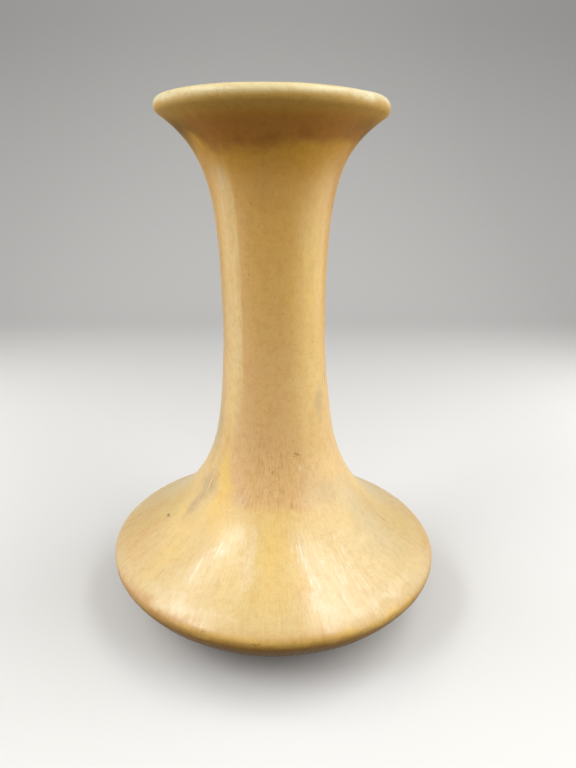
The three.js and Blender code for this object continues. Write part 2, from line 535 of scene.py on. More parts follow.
def prick(piece, marks, kind, width, depth):
    """Sinks a small square hollow at each mark, and keeps on the mesh which points lie in one."""
    take_up(piece)
    form = bmesh.from_edit_mesh(piece.data)
    if form.verts.layers.float.get(kind) is None:
        form.verts.layers.float.new(kind)
    form.faces.ensure_lookup_table()
    near = KDTree(len(form.faces))
    for face in form.faces:
        place = face.calc_center_median()
        if face.normal.xy.dot(place.xy) > 0:
            near.insert(place, face.index)
    near.balance()
    for azimuth, height in marks:
        form.faces[near.find(on_coat(azimuth, height))[1]].select_set(True)
    bmesh.update_edit_mesh(piece.data)
    bpy.ops.mesh.inset(thickness=width * HOLLOW_RIM, depth=0, use_individual=True)
    form = bmesh.from_edit_mesh(piece.data)
    for face in form.faces:
        if not face.select:
            continue
        middle = face.calc_center_median()
        side = face.normal.cross(Vector((0, 0, 1))).normalized()
        rise = side.cross(face.normal)
        for corner in face.verts:
            out = corner.co - middle
            square = side * math.copysign(1, out.dot(side)) + rise * math.copysign(1, out.dot(rise))
            corner.co = middle + square * width * HOLLOW_HALF
    bmesh.update_edit_mesh(piece.data)
    bpy.ops.mesh.inset(thickness=width * HOLLOW_SLOPE, depth=-depth, use_individual=True)
    form = bmesh.from_edit_mesh(piece.data)
    layer = form.verts.layers.float.get(kind)
    for corner in form.verts:
        if corner.select:
            corner[layer] = 1
    bmesh.update_edit_mesh(piece.data)
    put_all_down()


def stray_pits():
    """Pits scattered over the back of the coat, in no order."""
    return [(dice.uniform(*STRAY_AZIMUTHS), dice.uniform(*STRAY_HEIGHTS)) for _ in range(STRAY_PITS)]


def wipe_glaze_line(piece):
    """Lets the lower edge of the coat stray, as a wiped edge does."""
    take_up(piece, "VERT")
    band_radius = FOOT_RADIUS + BARE_BAND + GLAZE_LINE_WIDTH
    band_top = base_height + GLAZE_LINE_RISE
    form = bmesh.from_edit_mesh(piece.data)
    for corner in form.verts:
        if from_axis(corner.co) < band_radius and corner.co.z < band_top:
            corner.select_set(True)
    bmesh.update_edit_mesh(piece.data)
    bpy.ops.transform.vertex_random(offset=GLAZE_LINE_STRAY, seed=3)
    bpy.ops.mesh.vertices_smooth(factor=0.5, repeat=3)
    put_all_down()


# Finishes

# Sockets by their number: a Mix node's colours, a noise's colour and a wave's share
MIX_BELOW, MIX_ABOVE, MIX_RESULT = 6, 7, 2
NOISE_COLOUR = 1
WAVE_SHARE = 1

# Stretches of a noise's values: nearly all of it lies in the wide one
WIDE_NOISE = (0.3, 0.7)
MID_NOISE = (0.35, 0.65)


class Finish:
    """A finish mixed from nodes: most methods add one and give back what comes out of it."""

    def __init__(self, name):
        self.material = bpy.data.materials.new(name)
        self.material.use_nodes = True
        self.tree = self.material.node_tree
        self.shader = self.tree.nodes["Principled BSDF"]

    def fill(self, socket, value):
        """Links a socket to what comes out of a node, or sets its value."""
        if isinstance(value, bpy.types.NodeSocket):
            self.tree.links.new(value, socket)
        else:
            socket.default_value = value

    def add(self, kind, sockets=None, **settings):
        """Adds a whole node, with its settings made and its sockets filled."""
        node = self.tree.nodes.new("ShaderNode" + kind)
        for key, value in settings.items():
            setattr(node, key, value)
        for socket, value in (sockets or {}).items():
            self.fill(node.inputs[socket], value)
        return node

    def reckon(self, kind, first, second=0.0):
        return self.add("Math", {0: first, 1: second}, operation=kind).outputs[0]

    def plus(self, first, second):
        return self.reckon("ADD", first, second)

    def less(self, first, second):
        return self.reckon("SUBTRACT", first, second)

    def times(self, first, *others):
        for other in others:
            first = self.reckon("MULTIPLY", first, other)
        return first

    def ramp(self, value, low, high, start=0.0, end=1.0):
        """Goes smoothly from start to end as the value goes from low to high."""
        sockets = {"Value": value, "From Min": low, "From Max": high, "To Min": start, "To Max": end}
        return self.add("MapRange", sockets, interpolation_type="SMOOTHSTEP").outputs[0]

    def steps(self, value, changes):
        """The sum of several ramps of one value."""
        total = 0.0
        for change in changes:
            total = self.plus(total, self.ramp(value, *change))
        return total

    def blend(self, below, above, share, kind="MIX"):
        """One colour over another by a share."""
        sockets = {"Factor": share, MIX_BELOW: below, MIX_ABOVE: above}
        return self.add("Mix", sockets, data_type="RGBA", blend_type=kind).outputs[MIX_RESULT]

    def shade(self, paint, tint, share):
        """The paint multiplied by a tint, by a share."""
        return self.blend(paint, tint, share, "MULTIPLY")

    def to_shader(self, **sockets):
        for name, value in sockets.items():
            self.fill(self.shader.inputs[name.replace("_", " ")], value)


class PotteryFinish(Finish):
    """A finish that changes with the place on the vase."""

    def __init__(self, name):
        super().__init__(name)
        self.place = self.add("TexCoord").outputs["Object"]
        self.x, self.y, self.height = self.add("SeparateXYZ", {0: self.place}).outputs

    def on_vectors(self, kind, first, second=(0, 0, 0)):
        return self.add("VectorMath", {0: first, 1: second}, operation=kind).outputs[0]

    def noise(self, vector, scale, detail=2.0, roughness=0.5):
        sockets = {"Vector": vector, "Scale": scale, "Detail": detail, "Roughness": roughness}
        return self.add("TexNoise", sockets).outputs[0]

    def streaks(self, fineness, length, detail, roughness):
        """Noise in streaks that run down the form, of a length in metres."""
        outwards = self.on_vectors("NORMALIZE", self.on_vectors("MULTIPLY", self.place, (1, 1, 0)))
        around = self.on_vectors("MULTIPLY", outwards, (fineness, fineness, 0))
        down = self.on_vectors("MULTIPLY", self.place, (0, 0, 1 / length))
        return self.noise(self.on_vectors("ADD", around, down), 1, detail, roughness)

    def turning_lines(self, scale, distortion, **kind):
        """Lines that the fingers or the tool left as the wheel turned."""
        sockets = {"Vector": self.place, "Scale": scale, "Distortion": distortion, "Detail": 2}
        return self.add("TexWave", sockets, **kind).outputs[WAVE_SHARE]

    def tones_by_height(self, tones):
        """A colour that changes with the height: each tone is a height and a colour."""
        low, high = tones[0][0], tones[-1][0]
        share = self.times(self.less(self.height, low), 1 / (high - low))
        node = self.add("ValToRGB", {0: share})
        stops = node.color_ramp.elements
        for height, tone in tones[1:-1]:
            stops.new((height - low) / (high - low)).color = tone
        stops[0].color = tones[0][1]
        stops[len(tones) - 1].color = tones[-1][1]
        return node.outputs[0]

    def mottled(self, paint):
        """The paint with the fine mottle and grain of a satin glaze."""
        mottle = self.noise(self.place, scale=330, detail=3, roughness=0.6)
        grain = self.noise(self.place, scale=1700, detail=2, roughness=0.6)
        paint = self.shade(paint, MOTTLE_TINT, self.ramp(mottle, 0.45, 0.65, 0, 0.5))
        return self.shade(paint, GRAIN_TINT, self.ramp(grain, 0.45, 0.65, 0, 0.45))

    def bump(self, rise, strength, depth, under=None):
        """Relief by a share, up to a depth in metres, over other relief."""
        sockets = {"Strength": strength, "Distance": depth, "Height": rise}
        if under is not None:
            sockets["Normal"] = under
        return self.add("Bump", sockets).outputs[0]

    def glaze_skin(self, under=None):
        """The soft unevenness of a satin glaze's surface."""
        ripple = self.noise(self.place, scale=260, detail=3)
        return self.bump(ripple, strength=0.1, depth=SKIN_DEPTH, under=under)


def colour(red, green, blue):
    """A colour as a painter's chart gives it, from 0 to 255, made linear."""
    def linear(value):
        share = value / 255
        return share / 12.92 if share <= 0.04045 else ((share + 0.055) / 1.055) ** 2.4
    return (linear(red), linear(green), linear(blue), 1)


OCHRE = colour(228, 183, 104)
WARM_OCHRE = colour(222, 166, 92)
YELLOW_OCHRE = colour(250, 208, 104)
BROWN_OCHRE = colour(198, 136, 64)
ORANGE_OCHRE = colour(222, 148, 60)
GOLD_OCHRE = colour(226, 184, 100)
DULL_OCHRE = colour(210, 184, 124)
PALE_OCHRE = colour(255, 221, 136)
OLIVE_BROWN = colour(152, 112, 46)
OLIVE_PAINTED_SHADE = colour(112, 88, 40)
DEEP_BROWN = colour(150, 92, 36)
MILKY = colour(246, 226, 186)
HATCH_WHITE = colour(255, 246, 218)
HATCH_TINT = colour(242, 232, 214)
PALE_TAN = colour(230, 200, 154)
COMB_TAN = colour(240, 191, 127)
COMB_DARK = colour(176, 128, 80)
COMB_LIGHT = colour(240, 208, 158)
SCUFF_BROWN = colour(158, 108, 60)
SMUDGE_GREY = colour(198, 168, 114)
STAIN_BROWN = colour(140, 92, 36)
PIT_BROWN = colour(122, 86, 46)
NICK_ORANGE = colour(214, 140, 66)
CREAM = colour(248, 233, 180)
LIP_HIGHLIGHT_PALE = colour(255, 246, 204)
MOTTLE_TINT = colour(244, 234, 214)
GRAIN_TINT = colour(240, 230, 210)
CLAY_BUFF = colour(206, 176, 140)
CLAY_DARK = colour(172, 138, 102)
SLIP_TAN = colour(190, 158, 122)
GROG_DARK = colour(120, 90, 62)
GROG_PALE = colour(232, 212, 184)
WORN_TAN = colour(126, 104, 82)

# Tones of the outer glaze from the glaze line up to the lip: height and colour. The dark brown tones low
# down, under the widest part, are mostly painted shade under the belly.
GLAZE_TONES = (
    (0.0180, colour(150, 108, 50)),
    (0.0262, colour(182, 136, 64)),
    (0.0292, colour(213, 167, 86)),
    (0.0335, colour(225, 196, 132)),
    (0.0450, colour(230, 200, 130)),
    (0.0540, colour(235, 202, 126)),
    (0.0620, colour(245, 209, 132)),
    (0.0700, colour(244, 205, 130)),
    (0.0850, colour(242, 202, 128)),
    (0.1150, colour(240, 195, 119)),
    (0.1500, colour(238, 189, 106)),
    (0.1850, colour(236, 184, 90)),
    (0.2040, colour(228, 170, 66)),
    (0.2300, colour(228, 176, 76)),
)

# Soft spots in the outer glaze. Each has its azimuth in degrees and height in metres, its reach
# to each side in degrees and up and down in metres, its slant in degrees for each metre of rise,
# and its share of the tone that is laid there.
YELLOW_RUNS = (
    (1, 0.0500, 15, 0.0200, 0, 0.4),
    (-43, 0.0700, 12, 0.0210, -500, 1.2),
    (-52, 0.0430, 9, 0.0130, 0, 0.4),
    (63, 0.0350, 12, 0.0060, 0, 0.4),
    (58, 0.0560, 14, 0.0100, 0, 0.3),
    (-62, 0.0560, 16, 0.0150, 0, 0.7),
    (-38, 0.0590, 20, 0.0110, 0, 0.35),
    (44, 0.1560, 38, 0.0700, 0, 0.8),
    (0, 0.0294, 60, 0.0022, 0, 0.35),
    (36, 0.0284, 24, 0.0026, 0, 0.6),
)
WARM_RUNS = ((-70, 0.0380, 18, 0.0120, 0, 0.4),)
# A brown band on the belly's edge at the lower left: partly browner glaze, partly painted shade where the
# edge turns under.
BROWN_EDGE_AND_SHADE = ((-42, 0.0306, 30, 0.0028, 0, 0.5),)
# Darker, greyer patches towards the sides and the belly's edge: mostly painted shade where the form turns
# from the light.
DULL_SHADE_PATCHES = (
    (64, 0.0480, 22, 0.0320, 0, 0.9),
    (-72, 0.0310, 16, 0.0040, 0, 0.5),
    (60, 0.0312, 34, 0.0028, 0, 0.5),
    (-60, 0.0620, 15, 0.0150, 0, 0.9),
    (-74, 0.0930, 18, 0.0260, 0, 0.9),
    (-76, 0.1400, 18, 0.0700, 0, 0.45),
    (46, 0.0660, 16, 0.0120, 0, 0.6),
)
PALE_RUNS = (
    (38, 0.1120, 38, 0.0400, 0, 0.5),
    (-15, 0.0450, 12, 0.0160, 0, 0.25),
)
PALE_PATCHES = (
    (30, 0.0690, 20, 0.0140, 0, 0.35),
    (-24, 0.0660, 9, 0.0030, 0, 0.5),
)
# Deeper brown under the front of the flare: partly browner glaze, partly painted shade.
FLARE_DEEP_BROWN_AND_SHADE = (
    (-3, 0.2126, 11, 0.0040, 0, 0.4),
    (-22, 0.2136, 10, 0.0036, 0, 0.3),
    (21, 0.2156, 10, 0.0034, 0, 0.3),
)
ORANGE_TINTS = ((62, 0.2158, 14, 0.0050, 0, 0.35),)
# Painted shade under the flare's sides, where they turn from the light.
FLARE_PAINTED_SHADES = (
    (-74, 0.2150, 16, 0.0110, 0, 0.5),
    (72, 0.2120, 10, 0.0080, 0, 0.25),
)
# Painted highlights on the top of the lip, where it catches the light from above.
LIP_PAINTED_HIGHLIGHTS = (
    (57, 0.2300, 38, 0.0044, 0, 1),
    (-64, 0.2290, 20, 0.0036, 0, 0.6),
)
# Some milky bloom in the glaze, but mostly painted sheen: the lobes on the shoulder, the band along the
# belly's edge and the marks on the neck's left are painted reflections of the lamps.
MILKY_BLOOMS_AND_SHEEN = (
    (-29, 0.0460, 8, 0.0120, 1000, 0.35),
    (-14, 0.0470, 7, 0.0170, 0, 0.4),
    (-30, 0.0345, 24, 0.0026, 0, 0.6),
    (15, 0.0450, 5, 0.0190, -280, 0.45),
    (20, 0.0345, 7, 0.0040, 0, 0.5),
    (40, 0.0336, 18, 0.0022, 0, 0.5),
    (32, 0.0420, 26, 0.0200, 0, 0.4),
    (-45, 0.1350, 9, 0.0300, 0, 0.3),
    (-46, 0.1990, 8, 0.0090, 0, 0.45),
)
# White hatching that breaks up the painted sheen.
SHEEN_WHITE_HATCHES = (
    (-28, 0.0480, 9, 0.0140, 1000, 0.8),
    (-13, 0.0520, 6, 0.0140, 0, 0.5),
    (14, 0.0450, 6, 0.0200, -280, 1),
    (32, 0.0450, 22, 0.0180, 0, 0.5),
    (-30, 0.0345, 22, 0.0026, 0, 0.4),
)
SMUDGES = ((53, 0.1055, 11, 0.0120, 0, 0.55),)
STAINS = (
    (-75, 0.0463, 2.4, 0.0009, 0, 0.75),
    (19, 0.0852, 2.4, 0.0012, 0, 0.5),
    (-21, 0.0658, 2.6, 0.0014, 0, 0.3),
    (-1, 0.0794, 1.4, 0.0010, 0, 0.4),
)
PALE_TICKS = ((19.5, 0.0787, 1.1, 0.0026, 0, 0.45),)

# The scuff is a spot too, without a share, and pits and nicks take their tone by one share
SCUFF = (-60, 0.0660, 9, 0.0190, 160)
SUNK_SHARE = 0.8

# Where the outer glaze changes: each pair is where a change begins and where it is complete,
# by height in metres or by azimuth in degrees
ABOVE_BELLY = (0.0260, 0.0340)
# The pale stripe on the left of the neck is partly a glaze run and mostly painted sheen.
SHEEN_RUN_FOOT, SHEEN_RUN_TOP = (0.0840, 0.1050), (0.2130, 0.1880)
SHEEN_RUN_LEFT, SHEEN_RUN_RIGHT = (-72, -42), (-33, -37)
SHEEN_RUN_THINS = (0.1350, 0.1650)
SHEEN_RUN_LINES_TOP = (0.1500, 0.1250)
COMB_FOOT, COMB_TOP = (0.0616, 0.0664), (0.1600, 0.0850)
COMB_LEFT, COMB_RIGHT = (-37, -29), (50, 2)
COMB_LEFT_SLANTS = (0.0630, 0.0900)
COMB_LINES_TOP = (0.1120, 0.0760)
BROWN_TOP = (0.2262, 0.2180)
BROWN_SIDES = (35, 70)
GOLD_FOOT = (0.2205, 0.2258)
THIN_FOOT = (0.2262, 0.2290)
HATCHED_BELOW = (0.1000, 0.0700)

# The brown's lower edge: how far below and above its wavering line it fades
BROWN_FOOT = (-0.0022, 0.0026)

# Steps by azimuth or height: where each begins and is complete, and the value before and after.
# The brown's edge is a height, and steps up or down round the vase.
BROWN_EDGE_STEPS = (
    (-14, 6, 0.2100, 0.2126),
    (-40, -60, 0, 0.0056),
    (-80, -130, 0, -0.0030),
)
GLOSS_STEPS = (
    (0.0600, 0.0800, 1, 0.62),
    (0.1950, 0.2120, 0, -0.46),
    (0.2240, 0.2290, 0, 0.4),
    (0.0325, 0.0270, 0, -0.95),
)
ROUGHNESS_STEPS = (
    (0.2050, 0.2160, 0, 0.25),
    (0.2250, 0.2290, 0, -0.2),
)

# Depths of the fine relief, in metres
SKIN_DEPTH = 0.0006
HATCH_DEPTH = 0.0003
THROWN_DEPTH = 0.0006
TURNED_DEPTH = 0.0004
GRAIN_DEPTH = 0.0003

# Where the inner coat changes, and the worn edge of the bare foot: pairs of heights as above
POOLED_BELOW = (0.0220, 0.0100)
INNER_GOLD_FOOT = (0.2140, 0.2230)
INNER_THIN_FOOT = (0.2210, 0.2285)
WORN_BELOW = (0.0006, 0)


class SatinOchre(PotteryFinish):
    """The outer coat's finish: tones by height, and then one zone of marks laid over another."""

    def __init__(self, name):
        super().__init__(name)
        to_right, to_front = self.x, self.times(self.y, -1)
        self.angle = self.times(self.reckon("ARCTAN2", to_right, to_front), 180 / math.pi)
        sway = self.add("TexNoise", {"Vector": self.place, "Scale": 95, "Detail": 2})
        sways = self.add("SeparateColor", {0: sway.outputs[NOISE_COLOUR]}).outputs
        self.loose_angle = self.plus(self.angle, self.ramp(sways[0], *WIDE_NOISE, -3, 3))
        self.loose_height = self.plus(self.height, self.ramp(sways[1], *WIDE_NOISE, -0.0012, 0.0012))
        self.hatch = self.streaks(fineness=70, length=0.006, detail=3, roughness=0.65)
        self.comb = self.streaks(fineness=56, length=0.0045, detail=3, roughness=0.6)
        self.fine_streaks = self.streaks(fineness=9, length=0.02, detail=4, roughness=0.6)
        self.blotches = self.noise(self.place, scale=60, detail=4, roughness=0.6)
        self.paint = self.tones_by_height(GLAZE_TONES)

    def spot(self, azimuth, height, wide, tall, slant=0):
        """How much of a soft spot lies at a place: all at its middle and nothing past its reach."""
        up = self.less(self.loose_height, height)
        across = self.less(self.less(self.loose_angle, azimuth), self.times(up, slant))
        across = self.times(across, 1 / wide)
        up = self.times(up, 1 / tall)
        spread = self.plus(self.times(across, across), self.times(up, up))
        return self.ramp(self.reckon("SQRT", spread), 1, 0.1)

    def broken(self, least, most):
        """A share broken up by fine streaks, and by hatching between two values."""
        streaky = self.ramp(self.fine_streaks, *MID_NOISE, 0.45, 1.1)
        return self.plus(streaky, self.ramp(self.hatch, *MID_NOISE, least, most))

    def lay(self, tone, share):
        """Lays a tone over the paint by a share."""
        self.paint = self.blend(self.paint, tone, share)

    def lay_spots(self, tone, spots, broken=None):
        """Lays a tone over the paint in soft spots, whole or broken up."""
        for azimuth, height, wide, tall, slant, share in spots:
            cover = self.times(self.spot(azimuth, height, wide, tall, slant), share)
            self.lay(tone, cover if broken is None else self.times(cover, broken))

    def lay_drifts(self):
        """Yellower and warmer drifts that ran down the form."""
        drifts = self.streaks(fineness=2.6, length=0.05, detail=3, roughness=0.6)
        above_belly = self.ramp(self.height, *ABOVE_BELLY, 0.2, 1)
        self.lay(YELLOW_OCHRE, self.times(above_belly, self.ramp(drifts, 0.42, 0.28, 0, 0.35)))
        self.lay(WARM_OCHRE, self.times(above_belly, self.ramp(drifts, 0.55, 0.75, 0, 0.35)))

    def lay_runs(self):
        """Runs; a brown band at the belly's edge, partly painted shade; dull patches, mostly painted
        shade.
        """
        self.lay_spots(YELLOW_OCHRE, YELLOW_RUNS, self.ramp(self.fine_streaks, *MID_NOISE, 1.2, 0.6))
        self.lay_spots(WARM_OCHRE, WARM_RUNS, self.broken(-0.2, 0.3))
        self.lay_spots(BROWN_OCHRE, BROWN_EDGE_AND_SHADE)
        self.lay_spots(DULL_OCHRE, DULL_SHADE_PATCHES)
        self.lay_spots(PALE_OCHRE, PALE_RUNS)

    def lay_neck_run_and_sheen(self):
        """A pale stripe down the left of the neck, with a crisp right edge and fine lines low down: partly
        a glaze run, mostly painted sheen.
        """
        slow_noise = self.noise(self.place, scale=26)
        swayed = self.plus(self.angle, self.ramp(slow_noise, *WIDE_NOISE, -1.5, 1.5))
        neck_sheen_run = self.times(
            self.ramp(swayed, *SHEEN_RUN_LEFT),
            self.ramp(swayed, *SHEEN_RUN_RIGHT),
            self.ramp(self.height, *SHEEN_RUN_FOOT),
            self.ramp(self.height, *SHEEN_RUN_TOP),
            self.ramp(self.height, *SHEEN_RUN_THINS, 1, 0.75),
            self.ramp(self.fine_streaks, *MID_NOISE, 0.55, 1),
        )
        self.lay(PALE_OCHRE, neck_sheen_run)
        fine_lines = self.streaks(fineness=60, length=0.012, detail=2, roughness=0.6)
        lines = self.ramp(fine_lines, 0.52, 0.66, 0, 0.55)
        self.lay(MILKY, self.times(neck_sheen_run, self.ramp(self.height, *SHEEN_RUN_LINES_TOP), lines))
        return neck_sheen_run

    def lay_comb_streaks(self):
        """Tan comb-like streaks at the foot of the neck, ending at a wavering lower edge."""
        to_left = self.plus(self.loose_angle, self.ramp(self.height, *COMB_LEFT_SLANTS, 0, 8))
        zone = self.times(
            self.ramp(self.loose_height, *COMB_FOOT),
            self.ramp(self.height, *COMB_TOP),
            self.ramp(to_left, *COMB_LEFT),
            self.ramp(self.loose_angle, *COMB_RIGHT),
        )
        self.lay(COMB_TAN, self.times(zone, 0.7))
        self.lay_spots(PALE_TAN, PALE_PATCHES)
        patchy = self.ramp(self.blotches, 0.35, 0.6, 0.4, 1)
        lines = self.times(zone, self.ramp(self.height, *COMB_LINES_TOP), patchy)
        self.lay(COMB_DARK, self.times(lines, self.ramp(self.comb, 0.52, 0.67, 0, 0.45)))
        self.lay(COMB_LIGHT, self.times(lines, self.ramp(self.comb, 0.49, 0.34, 0, 0.85)))
        return lines

    def lay_scuff(self):
        """Scuffed streaks to the left of the comb-like ones."""
        scuff = self.spot(*SCUFF)
        long_lines = self.streaks(fineness=38, length=0.03, detail=2, roughness=0.6)
        lines = self.ramp(long_lines, 0.46, 0.56, 0.12, 0.75)
        self.lay(PALE_OCHRE, self.times(scuff, 0.35))
        self.lay(SCUFF_BROWN, self.times(scuff, lines))

    def lay_brown_and_shade_under_flare(self):
        """Brown under the flare, with a soft wavering lower edge: partly a browner glaze, partly painted
        shade where the flare keeps the light off.
        """
        edge = self.steps(self.angle, BROWN_EDGE_STEPS)
        above_edge = self.ramp(self.less(self.loose_height, edge), *BROWN_FOOT)
        below_top = self.ramp(self.height, *BROWN_TOP)
        to_sides = self.ramp(self.reckon("ABSOLUTE", self.angle), *BROWN_SIDES)
        # Painted shade in part: darker and olive towards the sides of the flare.
        brown = self.blend(BROWN_OCHRE, OLIVE_BROWN, to_sides)
        self.lay(brown, self.times(above_edge, below_top, 0.9))
        self.lay_spots(DEEP_BROWN, FLARE_DEEP_BROWN_AND_SHADE)
        self.lay_spots(ORANGE_OCHRE, ORANGE_TINTS)

    def lay_lip(self):
        """Gold below the lip, olive painted shade at the flare's sides, and a thin coat over the lip where
        the pale clay shows through, paler on its top as painted highlight.
        """
        self.lay(GOLD_OCHRE, self.ramp(self.height, *GOLD_FOOT, 0, 0.85))
        # Olive painted shade under the flare's sides.
        self.lay_spots(OLIVE_PAINTED_SHADE, FLARE_PAINTED_SHADES)
        # The cream over the lip is the thin coat and, on its lit top, painted highlight.
        self.lay(CREAM, self.ramp(self.height, *THIN_FOOT, 0, 0.85))
        self.lay_spots(LIP_HIGHLIGHT_PALE, LIP_PAINTED_HIGHLIGHTS)

    def lay_blooms_and_sheen(self):
        """Milky bloom and painted sheen, most of it on the shoulder, with white hatching in the sheen."""
        self.lay_spots(MILKY, MILKY_BLOOMS_AND_SHEEN, self.broken(-0.35, 0.5))
        self.lay_spots(HATCH_WHITE, SHEEN_WHITE_HATCHES, self.ramp(self.comb, 0.46, 0.3))

    def lay_fine_marks(self):
        """Mottle and hatching all over, and the smudge, stains, tick, pits and nicks."""
        hatched = self.times(
            self.ramp(self.height, *HATCHED_BELOW, 0.15, 0.55),
            self.ramp(self.hatch, 0.5, 0.66),
        )
        self.paint = self.shade(self.mottled(self.paint), HATCH_TINT, hatched)
        self.lay_spots(SMUDGE_GREY, SMUDGES)
        self.lay_spots(STAIN_BROWN, STAINS)
        self.lay_spots(HATCH_WHITE, PALE_TICKS)
        for tone, mark in ((PIT_BROWN, "pit"), (NICK_ORANGE, "nick")):
            sunk = self.add("Attribute", attribute_name=mark).outputs["Fac"]
            self.lay(tone, self.times(sunk, SUNK_SHARE))


def satin_ochre(name):
    """The outer coat: satin ochre, brown under the flare with painted shade there, and milky on the
    shoulder with painted sheen there.
    """
    mix = SatinOchre(name)
    mix.lay_drifts()
    mix.lay_runs()
    neck_sheen_run = mix.lay_neck_run_and_sheen()
    comb_lines = mix.lay_comb_streaks()
    mix.lay_scuff()
    mix.lay_brown_and_shade_under_flare()
    mix.lay_lip()
    mix.lay_blooms_and_sheen()
    mix.lay_fine_marks()

    # Relief: soft skin, and fine hatching that breaks up the sheen
    normal = mix.bump(mix.hatch, strength=0.12, depth=HATCH_DEPTH, under=mix.glaze_skin())
    combed = mix.times(mix.comb, comb_lines)
    normal = mix.bump(combed, strength=0.25, depth=HATCH_DEPTH, under=normal)

    # Gloss: fullest on the shoulder, nearly matt under the flare
    gloss = mix.plus(mix.steps(mix.height, GLOSS_STEPS), mix.times(neck_sheen_run, 0.35))
    uneven = mix.plus(
        mix.ramp(mix.blotches, *WIDE_NOISE, 0.3, 0.37),
        mix.ramp(mix.hatch, *MID_NOISE, -0.05, 0.05),
    )
    roughness = mix.plus(uneven, mix.steps(mix.height, ROUGHNESS_STEPS))
    mix.to_shader(Base_Color=mix.paint, Roughness=roughness, Normal=normal, Specular_IOR_Level=gloss)
    return mix.material


def inner_ochre(name):
    """The inner coat: the same glaze poured in, darker where it pooled on the floor."""
    mix = PotteryFinish(name)
    blotches = mix.noise(mix.place, scale=26, detail=3, roughness=0.55)
    runs = mix.streaks(fineness=3, length=0.03, detail=2, roughness=0.5)
    uneven_height = mix.plus(mix.height, mix.ramp(runs, 0.25, 0.75, -0.0022, 0.0022))
    paint = mix.blend(OCHRE, WARM_OCHRE, mix.ramp(blotches, *MID_NOISE))
    paint = mix.blend(paint, BROWN_OCHRE, mix.ramp(runs, 0.35, 0.8, 0, 0.4))
    paint = mix.blend(paint, BROWN_OCHRE, mix.ramp(mix.height, *POOLED_BELOW, 0, 0.6))
    paint = mix.blend(paint, GOLD_OCHRE, mix.ramp(uneven_height, *INNER_GOLD_FOOT, 0, 0.7))
    paint = mix.blend(paint, CREAM, mix.ramp(uneven_height, *INNER_THIN_FOOT, 0, 0.85))
    rings = mix.turning_lines(scale=60, distortion=0.6, bands_direction="Z")
    ringed = mix.bump(rings, strength=0.15, depth=THROWN_DEPTH)
    mix.to_shader(
        Base_Color=mix.mottled(paint),
        Roughness=mix.ramp(blotches, *WIDE_NOISE, 0.36, 0.46),
        Normal=mix.glaze_skin(ringed),
    )
    return mix.material


def bare_clay(name, light, dark):
    """Fired clay without glaze: matt and buff, with fine grog and turning lines."""
    mix = PotteryFinish(name)
    clouds = mix.noise(mix.place, scale=40, detail=4, roughness=0.6)
    grog = mix.noise(mix.place, scale=1300, detail=2, roughness=0.6)
    worn = mix.ramp(mix.height, *WORN_BELOW, 0, 0.55)
    paint = mix.blend(light, dark, mix.ramp(clouds, 0.35, 0.75, 0, 0.7))
    paint = mix.blend(paint, GROG_DARK, mix.ramp(grog, 0.68, 0.74, 0, 0.75))
    paint = mix.blend(paint, GROG_PALE, mix.ramp(grog, 0.34, 0.28, 0, 0.6))
    paint = mix.blend(paint, WORN_TAN, mix.times(worn, clouds))
    lines = mix.turning_lines(scale=180, distortion=1.2, wave_type="RINGS", rings_direction="Z")
    grain = mix.noise(mix.place, scale=1100, detail=3, roughness=0.65)
    lined = mix.bump(lines, strength=0.18, depth=TURNED_DEPTH)
    mix.to_shader(
        Base_Color=paint,
        Roughness=mix.ramp(clouds, *WIDE_NOISE, 0.82, 0.93),
        Normal=mix.bump(grain, strength=0.35, depth=GRAIN_DEPTH, under=lined),
    )
    return mix.material


def dress(piece, material):
    """Gives a piece one finish and smooth shading up to its true edges."""
    piece.data.materials.clear()
    piece.data.materials.append(material)
    pick_up(piece)
    bpy.ops.object.shade_smooth_by_angle(angle=math.radians(TRUE_EDGE_DEGREES))


# Stage, light and camera

STAGE_HALF = 2.5
STAGE_BACK = 1.1
STAGE_RISE = 2.2
SWEEP = 0.5
SWEEP_STEPS = 16
STAGE_SHOWN = colour(234, 233, 230)
STAGE_FELT = colour(56, 55, 54)
AIR = 0.4

# Long soft lamps: name, one end and the other in metres, width in metres, power in watts
LAMPS = (
    ("left strip, front", (-0.80, -0.75, 0.95), (-0.66, -0.20, 0.95), 0.28, 3.8),
    ("left strip, back", (-0.66, -0.20, 0.95), (-0.56, 0.35, 0.95), 0.28, 1.5),
    ("right strip", (0.70, -0.85, 0.95), (0.34, 0.25, 0.95), 0.28, 4.9),
    ("left panel", (-0.45, -0.40, 0.20), (-0.45, 0.35, 0.20), 0.38, 1.0),
    ("right panel", (0.45, -0.40, 0.20), (0.45, 0.35, 0.20), 0.38, 1.4),
    ("front lamp", (-0.30, -0.58, 0.80), (0.30, -0.58, 0.80), 0.40, 0.4),
)
LAMPS_AIM_AT = 0.1

# The camera that took the photograph, as its outline of the vase gives it
FRAME_LONG_SIDE = 768
FOCAL_PIXELS = 600
AXIS_OFFSET_PIXELS = 14.5
SENSOR = 36
NEAREST_SEEN = 0.01
CAMERA_BACK = 0.2659
CAMERA_HEIGHT = 0.1990
CAMERA_PITCH = 18.63


def pale_paper(name):
    """Paper that the camera, gloss and glass see pale, and that throws little light on the vase."""
    mix = Finish(name)
    rays = mix.add("LightPath").outputs
    shown = rays["Is Camera Ray"]
    for other in ("Is Glossy Ray", "Is Transmission Ray"):
        shown = mix.reckon("MAXIMUM", shown, rays[other])
    tone = mix.blend(STAGE_FELT, STAGE_SHOWN, shown)
    mix.to_shader(Base_Color=tone, Roughness=0.95, Specular_IOR_Level=0.1)
    return mix.material


def at_back(one, other):
    """Whether an edge between two points lies at the back of the floor."""
    return min(one.y, other.y) > STAGE_BACK - NEARLY


